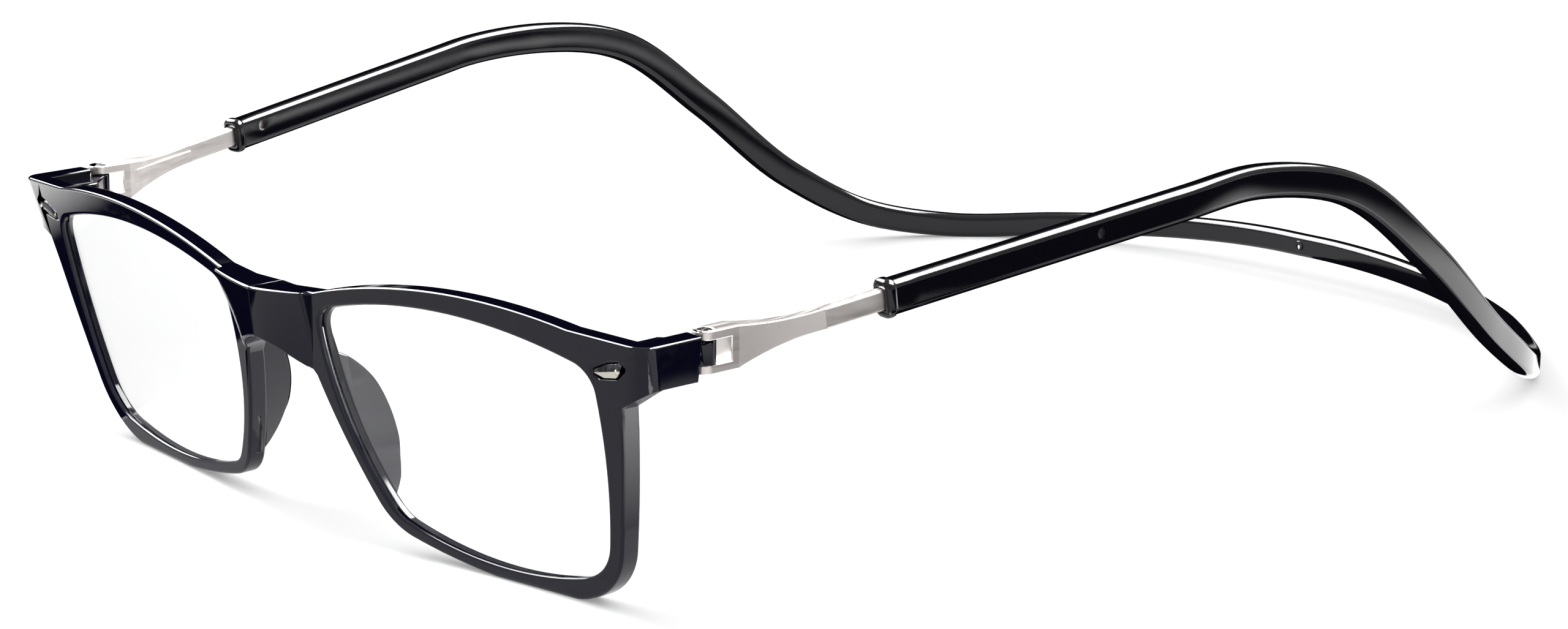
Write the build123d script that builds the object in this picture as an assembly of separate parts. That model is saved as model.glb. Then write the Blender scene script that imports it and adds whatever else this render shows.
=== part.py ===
from build123d import *
import math
import os

# Magnetic bridge reading glasses on a one-piece neck band. Millimetres, +Z up.
# The front faces -Y and the wearer's left is +X. The part stands on its two rims and on
# the rear corners of the band, and its origin is on the floor under the middle of its box.
# Y is measured from the outer front corner while the pieces are made.

# Lens opening, seen from the front
lens_inset = 11.0          # seam to the lens opening
lens_width = 49.7
lens_height = 36.4
lens_corner_top = 4.0      # corner radii of the opening
lens_corner_outer = 8.0
lens_corner_nose = 5.5

# Rim and endpiece
rim_bottom = 1.9           # width of the rim under the lens
rim_top = 3.0              # width of the rim over the lens
rim_side = 3.2             # width of the rim on the outer side of the lens
rim_nose = 2.0             # width of the rim on the nose side of the lens
rim_depth = 3.1            # front to rear
endpiece_width = 10.2      # lens opening to the outer side
endpiece_height = 6.3
endpiece_drop = 1.9        # top of the endpiece below the top of the brow
endpiece_draft = 1.0       # the outer side leans in by this towards its underside
endpiece_reach = 9.45      # front corner to the rear face of the side wall
side_wall = 3.2            # thickness of the wall that runs back to the hinge
corner_radius = 3.0        # front to side, seen from above
rim_corner_outer = 12.0    # lower corners of the rim
rim_corner_nose = 9.0
edge_round = 0.7           # rounded front edge of the rim
corner_set = -1.1          # sharp front corner, from the rounded one
front_bow = 0.3            # the front bulges by this between seam and corner
floor_cut = 0.15           # the rim is flattened by this where it stands
front_lean_share = 0.230   # the top leans forward
front_wrap_share = 0.118   # each half sweeps back towards its hinge

# Bridge block and magnet
seam_gap = 0.1             # between the two halves when they are closed
bridge_drop = 4.9          # top of the bridge below the top of the brow
bridge_height = 7.4        # at the seam
bridge_shoulder = 0.7      # where the brow runs out, beside the lens opening
block_half_width = 10.2
block_proud = 1.6          # in front of the rim at the seam
block_step = 1.4           # in front of the rim at the block's end
block_back = 1.3           # behind the rim at the seam
block_taper = 2.2          # the block narrows by this towards its underside
block_foot_height = 12.5   # height over which the block's end sinks into the rim
magnet_radius = 2.4
magnet_length = 2.5
magnet_clearance = 0.03

# Nose flange on the rear of the rim
flange_wall = 1.4
flange_reach = 5.6
flange_top_share = 0.72    # of the lens height
flange_low_share = 0.14
flange_flare_share = 0.25

# Lens
lens_thickness = 1.3
lens_edge_depth = 1.2      # front of the rim to the front of the lens, at its sides
lens_bulge = 0.8
lens_bite = 0.7            # how far the lens reaches into the rim
lens_clearance = 0.05

# Plaque let into the endpiece
plaque_length = 5.5
plaque_height = 2.8
plaque_depth = 0.6
plaque_set = 4.0           # outer side to the plaque's blunt end
plaque_drop = 4.0          # top of the endpiece to the middle of the plaque
plaque_sink = 0.12
plaque_clearance = 0.04

# Hinge
ear_radius = 1.6
hinge_clearance = 0.27     # ear to the rear face of the endpiece
hinge_inset = 2.03         # outer side to the screw axis
head_thickness = 3.2
head_length = 4.7          # screw axis to the end of the fork
fork_depth = 3.45          # screw axis to the bottom of the slot
ear_top_rise = 0.3         # upper ear above the endpiece
upper_ear = 1.3
lower_ear = 1.1
lug_height = 3.1
lug_clearance = 0.1
lug_inset = 7.4            # outer side to the inner end of the lug
lug_shoulder = 1.85        # endpiece's rear face to the lug's inner corner
screw_radius = 0.7
screw_head_radius = 1.25
screw_head_height = 0.5
screw_clearance = 0.05

# Temple bar
bar_thickness = 1.7
bar_height = 2.9
bar_round = 0.35
neck_length = 18.6         # screw axis to the end of the taper
neck_waist = 10.5          # screw axis to the place where most of the taper is done
neck_waist_share = 0.25    # of the difference in height that is left there
bar_tail = 4.0             # bar behind the slide pin
rib_thickness = 0.9
rib_height = 2.4
rib_end_share = 0.4        # size of the rib's rear end
slide_travel = 9.0
slide_flare_share = 0.135  # the slide runs outward as it runs back
slide_rise_share = 0.120   # and upward

# Sleeve at the front of the temple band
sleeve_thickness = 3.1
sleeve_height = 5.0
band_chamfer = 0.75        # corners of the sleeve's and the band's section
sleeve_set_back = 27.9     # screw axis to the lip
sleeve_set_out = 4.2
sleeve_set_up = 0.35        # lip centre above the top of the endpiece
sleeve_length = 48.0
lip_length = 1.5
lip_proud = 0.22
bar_clearance = 0.1
pin_set_back = 37.0        # lip to the slide pin
pin_radius = 0.8
pin_sink = 0.35
pin_seat = 0.3             # blind hole in the inner wall
pin_clearance = 0.02
window_radius = 0.9        # moulding window in the inner wall
window_set_back = 5.6
window_rise = 0.55         # above the middle of the sleeve

# Band behind the ears
band_half_width = 81.0     # to the middle of the band at its widest
band_depth = 222.8         # front corner to the middle of the band at the neck
band_hump = 46.7           # middle of the band at its highest
neck_thickness = 2.6
neck_height = 4.2
neck_rise = 6.0            # middle of the band above the floor at the neck
flex_half_width = 30.0     # where the band bends as the bridge opens
flex_set_forward = 47.6    # where it bends as a front half folds, from the neck

sleeve_run_in = 5.0        # the band starts straight over this length
neck_run_in = 6.0          # and is straight this far each side of its middle
bisections = 40            # steps of the search for the bending place

overrun = 30.0             # cutting solids run past what they cut by this

# Outlines as shares of the lens opening: across from its nose side, up from its foot
opening_corner_shares = [(-0.002, 0.898), (1.004, 0.898), (0.926, 0.085), (0.153, 0.096)]
opening_middle_shares = [(0.493, 1.0), (0.998, 0.566), (0.543, 0.0), (0.032, 0.415)]
nose_side_shares = [(-0.020, 0.618), (0.052, 0.338), (0.161, 0.047)]
flange_shares = [(-0.012, 0.75), (0.052, 0.338), (0.161, 0.047)]
foot_middle_share = 0.543
outer_side_shares = [(0.885, -0.027), (0.980, 0.442), (1.032, 0.780)]
brow_shares = [(0.946, 0.962), (0.523, 1.0), (0.0, 0.9)]
bridge_arch_share = 0.62   # across to the nose side, where the arch is half way down

# Plaque as shares of its length and height: from the pointed end, up from its foot
plaque_shares = [(0.0, 0.15), (0.0, 0.42), (0.49, 0.86), (0.86, 1.0), (1.0, 0.75)]
plaque_shares += [(0.97, 0.50), (0.76, 0.14), (0.30, 0.0)]

# Band's middle line as shares of its half width, of the way from sleeve to neck and of
# its hump, with each section's height and thickness as shares of the way from the
# neck's section to the sleeve's
band_path_shares = [
    (0.984, 0.165, 1.000, 1.15, 1.0),
    (0.996, 0.310, 0.918, 1.25, 1.0),
    (1.000, 0.457, 0.640, 1.30, 0.9),
    (0.978, 0.607, 0.300, 1.15, 0.7),
    (0.921, 0.732, 0.106, 0.75, 0.5),
    (0.820, 0.825, 0.048, 0.35, 0.3),
    (0.626, 0.924, 0.064, 0.15, 0.1),
    (0.365, 0.983, 0.103, 0.05, 0.0),
]

# Sizes that follow
half_width = lens_inset + lens_width + endpiece_width
front_height = rim_bottom + lens_height + rim_top
endpiece_top = front_height - endpiece_drop
endpiece_foot = endpiece_top - endpiece_height
bridge_top = front_height - bridge_drop
bridge_foot = bridge_top - bridge_height
hinge_x = half_width - hinge_inset
hinge_y = endpiece_reach + ear_radius + hinge_clearance
ear_top = endpiece_top + ear_top_rise
lug_top = ear_top - upper_ear - lug_clearance
lug_foot = lug_top - lug_height
ear_foot = lug_foot - lug_clearance - lower_ear
lip_x = hinge_x + sleeve_set_out
lip_y = hinge_y + sleeve_set_back
lip_z = endpiece_top + sleeve_set_up
slide_way = Vector(slide_flare_share, 1, slide_rise_share)
front_reach = corner_set - front_wrap_share * half_width
front_reach += front_lean_share * (endpiece_top - bridge_top) - block_proud
rear_reach = band_depth + neck_thickness / 2
middle_y = (front_reach + rear_reach) / 2


def rim_front(x, z):
    """Y of the rim's front face."""
    middle = half_width / 2
    swell = front_bow * (1 - ((x - middle) / middle) ** 2)
    lean = front_lean_share * (endpiece_top - z)
    return corner_set - front_wrap_share * (half_width - x) + lean - swell


def front_view(outline, rear=overrun):
    """Solid with the given front view (x across, y up), running forward from rear."""
    plane = Plane(origin=(0, rear, 0), x_dir=(1, 0, 0), z_dir=(0, -1, 0))
    return extrude(plane * outline, amount=rear + overrun)


def leaning_slab(depth_side, depth_middle, thickness, start=0.0, end=half_width):
    """Slab behind the rim's front face, in its lean, between two distances across."""
    stations = [start, (start + end) / 2, end]
    depths = [depth_side, depth_middle, depth_side]
    front = [Vector(x, rim_front(x, 0) + d, 0) for x, d in zip(stations, depths)]
    back = [point + Vector(0, thickness, 0) for point in front]
    rim = [
        ThreePointArc(*front),
        Line(front[2], back[2]),
        ThreePointArc(*reversed(back)),
        Line(back[0], front[0]),
    ]
    lean = Vector(0, -front_lean_share, 1)
    foot = make_face(rim).moved(Location(lean * -overrun))
    return extrude(foot, amount=(front_height + 2 * overrun) * lean.length, dir=lean)


def opening_point(share, out=0.0, up=0.0):
    """Point of the front view, placed by its shares of the lens opening."""
    x = lens_inset + share[0] * lens_width + out
    z = rim_bottom + share[1] * lens_height + up
    return Vector(x, z, 0)


def opening_outline(grow=0.0):
    """Front view of the lens opening: four arcs with rounded corners."""
    sides = ((-1, 1), (1, 1), (1, -1), (-1, -1))
    corners = [
        opening_point(share, out=grow * side[0], up=grow * side[1])
        for share, side in zip(opening_corner_shares, sides)
    ]
    sides = ((0, 1), (1, 0), (0, -1), (-1, 0))
    middles = [
        opening_point(share, out=grow * side[0], up=grow * side[1])
        for share, side in zip(opening_middle_shares, sides)
    ]
    arcs = [
        ThreePointArc(corners[i], middles[i], corners[(i + 1) % 4])
        for i in range(4)
    ]
    outline = make_face(arcs)
    radii = [lens_corner_top, lens_corner_top, lens_corner_outer, lens_corner_nose]
    for corner, radius in zip(corners, radii):
        vertex = outline.vertices().sort_by_distance(corner)[0]
        outline = fillet(vertex, radius + grow)
    return outline


def brow_line(x):
    """Point on the straight top edge between the end of the brow and the outer side."""
    brow_end = opening_point(brow_shares[0], up=rim_top)
    share = (x - brow_end.X) / (half_width - brow_end.X)
    return Vector(x, brow_end.Y + share * (endpiece_top - brow_end.Y), 0)


def rim_outline():
    """Front view of one half: bridge, nose side, foot, outer side and brow."""
    seam_foot = Vector(0, bridge_foot, 0)
    seam_top = Vector(0, bridge_top, 0)
    nose = [opening_point(share, out=-rim_nose) for share in nose_side_shares]
    outer = [opening_point(share, out=rim_side) for share in outer_side_shares]
    foot = Vector(opening_point((foot_middle_share, 0)).X, -floor_cut, 0)
    brow_end, brow_middle, brow_start = [
        opening_point(share, up=rim_top) for share in brow_shares
    ]
    shoulder = Vector(brow_start.X, bridge_top + bridge_shoulder, 0)
    top_corner = brow_line(outer[2].X)
    arch = Vector(
        nose[0].X * bridge_arch_share,
        nose[0].Y + (bridge_foot - nose[0].Y) * bridge_arch_share,
        0,
    )
    edges = [
        ThreePointArc(seam_foot, arch, nose[0]),
        ThreePointArc(*nose),
        ThreePointArc(nose[2], foot, outer[0]),
        ThreePointArc(*outer),
        Line(outer[2], top_corner),
        Line(top_corner, brow_end),
        ThreePointArc(brow_end, brow_middle, shoulder),
        Line(shoulder, seam_top),
        Line(seam_top, seam_foot),
    ]
    outline = make_face(edges)
    for corner, radius in ((nose[2], rim_corner_nose), (outer[0], rim_corner_outer)):
        vertex = outline.vertices().sort_by_distance(corner)[0]
        outline = fillet(vertex, radius)
    return outline


def endpiece():
    """Outer end of the front, with a side wall that runs back to the hinge."""
    root = opening_point(outer_side_shares[2], out=rim_side)
    brow_end = opening_point(brow_shares[0], up=rim_top)
    front = make_face(
        Polyline(
            (brow_end.X, root.Y),
            (root.X, root.Y),
            (half_width - endpiece_draft, endpiece_foot),
            (half_width, endpiece_top),
            (brow_end.X, brow_end.Y),
            close=True,
        )
    )
    inner = half_width - side_wall
    side = make_face(
        Polyline(
            (inner, endpiece_foot),
            (half_width - endpiece_draft, endpiece_foot),
            (half_width, endpiece_top),
            (inner, brow_line(inner).Y),
            close=True,
        )
    )
    end = front_view(front) & leaning_slab(0, 0, rim_depth)
    end = end + (front_view(side, endpiece_reach) & leaning_slab(0, 0, overrun))
    corner = end.edges().filter_by(lambda edge: is_front_corner(edge))
    return fillet(corner, corner_radius)


def hinge_lug():
    """Lug on the rear of the endpiece, rounded about the screw, with a sloping back."""
    inner = half_width - lug_inset
    root = rim_front(inner, lug_top) + rim_depth / 2
    corners = [
        (hinge_x, root),
        (hinge_x, endpiece_reach - ear_radius),
        (hinge_x + ear_radius, endpiece_reach),
        (hinge_x + ear_radius, hinge_y),
        (hinge_x - ear_radius, hinge_y),
        (inner, endpiece_reach - lug_shoulder),
        (inner, root),
    ]
    outline = make_face(Polyline(*corners, close=True))
    lug = extrude(Pos(0, 0, lug_foot) * outline, amount=lug_height)
    barrel = Cylinder(ear_radius, lug_height, align=(Align.CENTER, Align.CENTER, Align.MIN))
    return lug + Pos(hinge_x, hinge_y, lug_foot) * barrel


def block_section(z, half, proud, step, back):
    """Section of the bridge block at one height."""
    nose = Vector(0, rim_front(0, z) - proud, z)
    end = Vector(half, rim_front(half, z) - step, z)
    swell = Vector(half / 2, (nose.Y + end.Y) / 2 - (end.Y - nose.Y) / 4, z)
    rear_end = Vector(half, rim_front(half, z) + rim_depth / 2, z)
    rear = Vector(0, rim_front(0, z) + rim_depth + back, z)
    edges = [
        ThreePointArc(nose, swell, end),
        Line(end, rear_end),
        Line(rear_end, rear),
        Line(rear, nose),
    ]
    return make_face(edges)


def bridge_block():
    """Raised block that holds the magnet. Its end sinks into the rim towards its foot."""
    top = bridge_top + bridge_shoulder + edge_round
    foot = top - block_foot_height
    foot_half = block_half_width - block_taper
    sections = [
        block_section(foot, foot_half, block_proud + block_back, -edge_round / 2, block_back),
        block_section(top, block_half_width, block_proud, block_step, block_back),
    ]
    return loft(sections, ruled=True)


def flange_section(depth, out):
    """Section of the nose flange, in the lean of the front, at a depth behind its face."""
    corners = []
    for share in flange_shares:
        point = opening_point(share, out=-rim_nose)
        corners.append((point.X + out, point.Y))
    inner = [(x + flange_wall, z) for x, z in corners]
    base = rim_front(0, 0) + depth
    nose, rear = [
        [Vector(x, base + front_wrap_share * x - front_lean_share * z, z) for x, z in side]
        for side in (corners, inner)
    ]
    edges = [
        ThreePointArc(*nose),
        Line(nose[2], rear[2]),
        ThreePointArc(*reversed(rear)),
        Line(rear[0], nose[0]),
    ]
    return make_face(edges)


def nose_flange():
    """Thin D-shaped wall that carries on from the nose side of the rim."""
    seat = rim_depth / 2
    reach = rim_depth + 2 * flange_reach
    flare = flange_flare_share * (reach - seat)
    sections = [flange_section(seat, 0), flange_section(reach, flare)]
    wall = loft(sections, ruled=True)
    top = rim_bottom + flange_top_share * lens_height
    low = rim_bottom + flange_low_share * lens_height
    middle = (top + low) / 2

    def back_point(z, out):
        return Vector(0, rim_front(lens_inset, z) + out, z)

    profile = make_face(
        [
            Line(back_point(low, -seat), back_point(low, rim_depth)),
            ThreePointArc(
                back_point(low, rim_depth),
                back_point(middle, rim_depth + flange_reach),
                back_point(top, rim_depth),
            ),
            Line(back_point(top, rim_depth), back_point(top, -seat)),
            Line(back_point(top, -seat), back_point(low, -seat)),
        ]
    )
    return wall & extrude(profile, amount=overrun, dir=(1, 0, 0))


def plaque_outline(clearance=0.0):
    """Front view of the plaque, pointed towards the nose."""
    length = plaque_length - 2 * clearance
    height = plaque_height - 2 * clearance
    start = half_width - plaque_set - plaque_length + clearance
    foot = endpiece_top - plaque_drop - height / 2
    points = [(start + x * length, foot + z * height) for x, z in plaque_shares]
    return make_face(Polyline(*points, close=True))


def magnet_at(radius, length):
    """Disc at the seam, its axis across the glasses."""
    z = (bridge_top + bridge_foot) / 2
    y = (rim_front(0, z) - block_proud + rim_front(0, z) + rim_depth + block_back) / 2
    disc = Cylinder(radius, length, align=(Align.CENTER, Align.CENTER, Align.MIN))
    return Pos(seam_gap / 2, y, z) * Rot(0, 90, 0) * disc


def lens_slab(clearance):
    """Curved slab in which the lens lies."""
    edge = lens_edge_depth - clearance
    thickness = lens_thickness + 2 * clearance
    end = lens_inset + lens_width + lens_inset
    return leaning_slab(edge, edge - lens_bulge, thickness, 0, end)


def front_half():
    """One half of the front, moulded in one piece."""
    outline = front_view(rim_outline())
    half = outline & leaning_slab(0, 0, rim_depth)
    half = half + (outline & bridge_block())
    half = half + endpiece() + nose_flange()
    half = half - front_view(opening_outline())
    half = half + hinge_lug()
    groove = opening_outline(lens_bite + lens_clearance)
    half = half - (front_view(groove) & lens_slab(lens_clearance))
    recess = leaning_slab(-overrun, -overrun, overrun + plaque_depth)
    half = half - (front_view(plaque_outline()) & recess)
    half = half - magnet_at(magnet_radius + magnet_clearance, magnet_length + magnet_clearance)
    bore = Cylinder(screw_radius + screw_clearance, overrun)
    half = half - Pos(hinge_x, hinge_y, lug_top) * bore
    room = Box(half_width, 3 * overrun, 2 * front_height, align=Align.MIN)
    return half & (Pos(seam_gap / 2, -overrun, 0) * room)


def is_front_corner(edge):
    """True for the upright edge between the front and the outer side."""
    middle = edge.position_at(0.5)
    near_side = middle.X > half_width - endpiece_draft
    near_front = middle.Y < rim_front(half_width, middle.Z) + corner_radius / 2
    upright = edge.length > endpiece_height / 2
    return near_side and near_front and upright


def lens():
    """Clear lens, held in the groove of the rim."""
    return front_view(opening_outline(lens_bite)) & lens_slab(0)


def plaque():
    """Metal plaque with two facets, sunk a little below the front face."""
    body = front_view(plaque_outline(plaque_clearance))
    body = body & leaning_slab(plaque_sink, plaque_sink, plaque_depth - plaque_sink)
    ridge = endpiece_top - plaque_drop
    x = half_width - plaque_set
    y = rim_front(x, ridge) + plaque_sink
    tilt = math.degrees(math.atan2(plaque_depth, plaque_height))
    facet = Plane(origin=(x, y, ridge), x_dir=(1, front_wrap_share, 0), z_dir=(0, -1, 0))
    facet = facet.rotated((-tilt, 0, 0))
    return body - extrude(facet * Rectangle(overrun, overrun), amount=overrun)


def bridge_magnet():
    return magnet_at(magnet_radius, magnet_length)


def slide_plane(set_back):
    """Plane square to the slide, at a distance behind the lip."""
    origin = Vector(lip_x, lip_y, lip_z) + slide_way * set_back
    across = Vector(1, -slide_flare_share, 0)
    return Plane(origin=origin, x_dir=across, z_dir=slide_way)


def along_slide(section, start, end):
    """Section swept straight along the slide between two distances behind the lip."""
    return extrude(slide_plane(start) * section, amount=(end - start) * slide_way.length)


def chamfered(width, height, corner):
    """Rectangle with its corners cut off."""
    return chamfer(Rectangle(width, height).vertices(), corner).face()


def bar_section(clearance=0.0):
    width = bar_thickness + 2 * clearance
    height = bar_height + 2 * clearance
    return RectangleRounded(width, height, bar_round)


def hinge_screw():
    """Screw from the top of the upper ear down through the lug into the lower ear."""
    head_foot = ear_top - screw_head_height
    middle = (Align.CENTER, Align.CENTER, Align.MIN)
    shank = Cylinder(screw_radius, head_foot - ear_foot, align=middle)
    head = Cylinder(screw_head_radius, screw_head_height, align=middle)
    screw = Pos(hinge_x, hinge_y, ear_foot) * shank
    return screw + Pos(hinge_x, hinge_y, head_foot) * head


def temple_bar():
    """Flat bar with a forked head at the hinge and a stop slot near its tail."""
    head_end = hinge_y + head_length
    neck_end = neck_length - sleeve_set_back
    inner = hinge_x + ear_radius - head_thickness
    outline = make_face(
        [
            Line((inner, hinge_y), (inner, head_end)),
            Line((inner, head_end), (inner + head_thickness, head_end)),
            Line((inner + head_thickness, head_end), (hinge_x + ear_radius, hinge_y)),
            ThreePointArc(
                (hinge_x + ear_radius, hinge_y),
                (hinge_x, hinge_y - ear_radius),
                (inner, hinge_y),
            ),
        ]
    )
    head = extrude(Pos(0, 0, ear_foot) * outline, amount=ear_top - ear_foot)
    middle_z = (ear_top + ear_foot) / 2
    square = Plane(origin=(hinge_x, head_end, middle_z), x_dir=(1, 0, 0), z_dir=(0, 1, 0))
    head_height = ear_top - ear_foot
    wide = square * Rectangle(head_thickness, head_height)
    slim = slide_plane(neck_end) * Rectangle(bar_thickness, bar_height)
    share = (neck_waist - head_length) / (neck_length - head_length)
    centre = square.origin + (slide_plane(neck_end).origin - square.origin) * share
    waist = Plane(origin=centre, x_dir=(1, 0, 0), z_dir=(0, 1, 0)) * Rectangle(
        bar_thickness + (head_thickness - bar_thickness) * neck_waist_share,
        bar_height + (head_height - bar_height) * neck_waist_share,
    )
    neck = loft([wide.face(), waist.face(), slim.face()])
    tail = pin_set_back + bar_tail
    bar = head + neck + along_slide(bar_section(), neck_end, tail)
    slot_height = lug_height + 2 * lug_clearance
    slot = Box(
        2 * head_thickness,
        overrun,
        slot_height,
        align=(Align.CENTER, Align.MAX, Align.MIN),
    )
    bar = bar - Pos(hinge_x, hinge_y + fork_depth, lug_foot - lug_clearance) * slot
    bar = bar + bar_rib()
    middle = (Align.CENTER, Align.CENTER, Align.MIN)
    bore = Cylinder(screw_radius + pin_clearance, overrun)
    seat = Cylinder(screw_head_radius + pin_clearance, overrun, align=middle)
    bar = bar - Pos(hinge_x, hinge_y, ear_foot) * bore
    bar = bar - Pos(hinge_x, hinge_y, ear_top - screw_head_height - pin_clearance) * seat
    return bar - stop_slot()


def bar_rib():
    """Raised rib on the inner side of the neck, which runs out towards the sleeve."""
    z = (ear_top + ear_foot) / 2
    start = Vector(hinge_x + ear_radius - head_thickness + rib_thickness / 2, hinge_y, z)
    start = start + Vector(0, fork_depth + rib_thickness, 0)
    end = slide_plane(neck_length - sleeve_set_back).origin
    end = end - Vector(bar_thickness / 2, 0, 0)
    sections = []
    for centre, share in ((start, 1), (end, rib_end_share)):
        plane = Plane(origin=centre, x_dir=(1, 0, 0), z_dir=(0, 1, 0))
        outline = plane * Rectangle(rib_thickness * share, rib_height * share)
        sections.append(outline.face())
    return loft(sections, ruled=True)


def stop_slot():
    """Slot in the bar that runs past the slide pin over the whole travel."""
    reach = pin_radius + bar_clearance
    plane = slide_plane(pin_set_back)
    length = slide_travel + 2 * reach
    centre = -slide_travel / 2
    shape = SlotOverall(length, 2 * reach)
    side = Plane(
        origin=plane.origin + plane.z_dir * centre,
        x_dir=plane.z_dir,
        z_dir=plane.x_dir,
    )
    return extrude(side * shape, amount=overrun / 2, both=True)


def slide_pin(clearance=0.0, reach=None):
    """Pin across the sleeve, which stops the bar at both ends of its travel."""
    plane = slide_plane(pin_set_back)
    outer = sleeve_thickness / 2 - pin_sink
    inner = -(bar_thickness / 2 + bar_clearance + pin_seat)
    top = outer if reach is None else reach
    side = Plane(
        origin=plane.origin + plane.x_dir * (inner - clearance),
        x_dir=plane.z_dir,
        z_dir=plane.x_dir,
    )
    return extrude(side * Circle(pin_radius + clearance), amount=top - inner + clearance)


def band_points():
    """Places on the middle line of the band, from inside the sleeve to past the neck."""
    start = slide_plane(sleeve_length).origin
    points = [slide_plane(sleeve_length - sleeve_run_in).origin, start]
    points.append(slide_plane(sleeve_length + sleeve_run_in).origin)
    for x, y, z, _, _ in band_path_shares:
        points.append(
            Vector(
                x * band_half_width,
                start.Y + y * (band_depth - start.Y),
                z * band_hump,
            )
        )
    for x in (neck_run_in, 0, -neck_run_in):
        points.append(Vector(x, band_depth, neck_rise))
    return points


def band_sweep():
    """Band from the sleeve to the neck, through a section at each place on its line."""
    points = band_points()
    line = Spline(*points)
    shares = [(1.0, 1.0)] * 3 + [row[3:] for row in band_path_shares] + [(0.0, 0.0)] * 2
    sections = []
    ways = [slide_way.normalized()] * 3
    ways += [line.tangent_at(line.param_at_point(point)) for point in points[3:-2]]
    ways += [Vector(-1, 0, 0)]
    for point, way, (height_share, thickness_share) in list(zip(points, ways, shares))[1:]:
        across = Vector(way.Y, -way.X, 0)
        height = neck_height + height_share * (sleeve_height - neck_height)
        thickness = neck_thickness + thickness_share * (sleeve_thickness - neck_thickness)
        plane = Plane(origin=point, x_dir=across, z_dir=way)
        sections.append(plane * chamfered(thickness, height, band_chamfer))
    return loft(sections)


def behind(point, way):
    """Large box on the far side of an upright plane."""
    plane = Plane(origin=(point.X, point.Y, 0), x_dir=(0, 0, 1), z_dir=(way.X, way.Y, 0))
    side = 2 * (band_depth + band_half_width)
    return extrude(plane * Rectangle(side, side), amount=side)


def flex_plane():
    """Point and direction of the band where it bends as a front half folds."""
    line = Spline(*band_points())
    target = band_depth - flex_set_forward
    low = 0.0
    high = 1.0
    for _ in range(bisections):
        middle = (low + high) / 2
        past = line.position_at(middle).Y > target or line.tangent_at(middle).Y < 0
        if past:
            high = middle
        else:
            low = middle
    return line.position_at(low), line.tangent_at(low)


def sleeve():
    """Straight front of the temple band with its lip, slot, pin hole and window."""
    section = chamfered(sleeve_thickness, sleeve_height, band_chamfer)
    lip_section = chamfered(
        sleeve_thickness + 2 * lip_proud,
        sleeve_height + 2 * lip_proud,
        band_chamfer + lip_proud,
    )
    return along_slide(section, 0, sleeve_length) + along_slide(lip_section, 0, lip_length)


def temple_band(band):
    """Sleeve and the band over the ear."""
    point, way = flex_plane()
    body = sleeve() + (band - behind(point, way))
    tail = pin_set_back + bar_tail + slide_travel / slide_way.length
    body = body - along_slide(bar_section(bar_clearance), -overrun, tail + bar_clearance)
    body = body - slide_pin(pin_clearance, overrun)
    plane = slide_plane(window_set_back)
    side = Plane(
        origin=plane.origin - plane.y_dir * window_rise,
        x_dir=plane.z_dir,
        z_dir=plane.x_dir * -1,
    )
    return body - extrude(side * Circle(window_radius), amount=overrun)


def neck_side():
    """Everything nearer the middle than the neck's bending place."""
    side = Vector(flex_half_width, 0, 0)
    return behind(side, Vector(-1, 0, 0))


def band_corner(band):
    """Rear corner of the band, which stands on the floor."""
    point, way = flex_plane()
    corner = (band & behind(point, way)) - neck_side()
    floor = Box(
        2 * band_half_width, 2 * band_depth, overrun, align=(Align.CENTER, Align.MIN, Align.MAX)
    )
    return corner - floor


def neck_band(band):
    """Middle of the band, behind the neck."""
    half = band & neck_side()
    return half + half.mirror(Plane.YZ)


def place(solid):
    return solid.moved(Location((0, -middle_y, 0)))


def save(name, solid):
    solid = place(solid)
    solid.label = name
    export_step(solid, os.path.join("parts", name + ".step"))
    print(name, round(solid.volume, 3), [round(v, 3) for v in solid.bounding_box().size])


def main():
    os.makedirs("parts", exist_ok=True)
    band = band_sweep()
    pieces = {
        "front_half": front_half(),
        "lens": lens(),
        "plaque": plaque(),
        "bridge_magnet": bridge_magnet(),
        "temple_bar": temple_bar(),
        "hinge_screw": hinge_screw(),
        "slide_pin": slide_pin(),
        "temple_band": temple_band(band),
        "band_corner": band_corner(band),
    }
    for name, solid in pieces.items():
        save("left_" + name, solid)
        save("right_" + name, solid.mirror(Plane.YZ))
    save("neck_band", neck_band(band))


main()
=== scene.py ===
import math

import bmesh
import bpy
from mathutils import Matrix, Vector
from mathutils.bvhtree import BVHTree


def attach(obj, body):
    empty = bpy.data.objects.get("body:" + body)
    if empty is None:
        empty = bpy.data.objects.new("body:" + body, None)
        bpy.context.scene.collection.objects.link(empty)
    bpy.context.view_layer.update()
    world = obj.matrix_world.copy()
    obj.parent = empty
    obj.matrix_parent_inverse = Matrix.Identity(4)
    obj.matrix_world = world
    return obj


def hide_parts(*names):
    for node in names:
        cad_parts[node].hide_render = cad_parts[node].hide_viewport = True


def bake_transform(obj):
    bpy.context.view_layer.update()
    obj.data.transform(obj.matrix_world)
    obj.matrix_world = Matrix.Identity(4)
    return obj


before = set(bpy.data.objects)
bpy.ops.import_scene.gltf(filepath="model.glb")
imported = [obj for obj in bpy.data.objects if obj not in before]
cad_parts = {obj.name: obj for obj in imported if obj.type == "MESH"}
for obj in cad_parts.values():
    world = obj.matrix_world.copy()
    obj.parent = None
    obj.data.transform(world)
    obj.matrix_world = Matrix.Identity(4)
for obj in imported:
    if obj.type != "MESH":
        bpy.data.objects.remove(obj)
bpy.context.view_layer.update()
print("frame loaded with", len(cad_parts), "nodes")

mm = 0.001
middleY = 106.8619      # mm from the outer front corner of the CAD model to the frame's origin
leastRadius = 0.001     # mm, so that a lathed profile can end on its axis
sides = {"left": 1, "right": -1}
collection = bpy.context.scene.collection

cameraValues = {
    "place": (0.4084, -0.40848, 0.15796),
    "turn": (75.861, -0.4175, 46.1685),  # degrees, with the small roll of the photograph
    "lens": 85.33,
    "sensor": 36.0,
    "clip": (0.01, 20.0),
}


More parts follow.
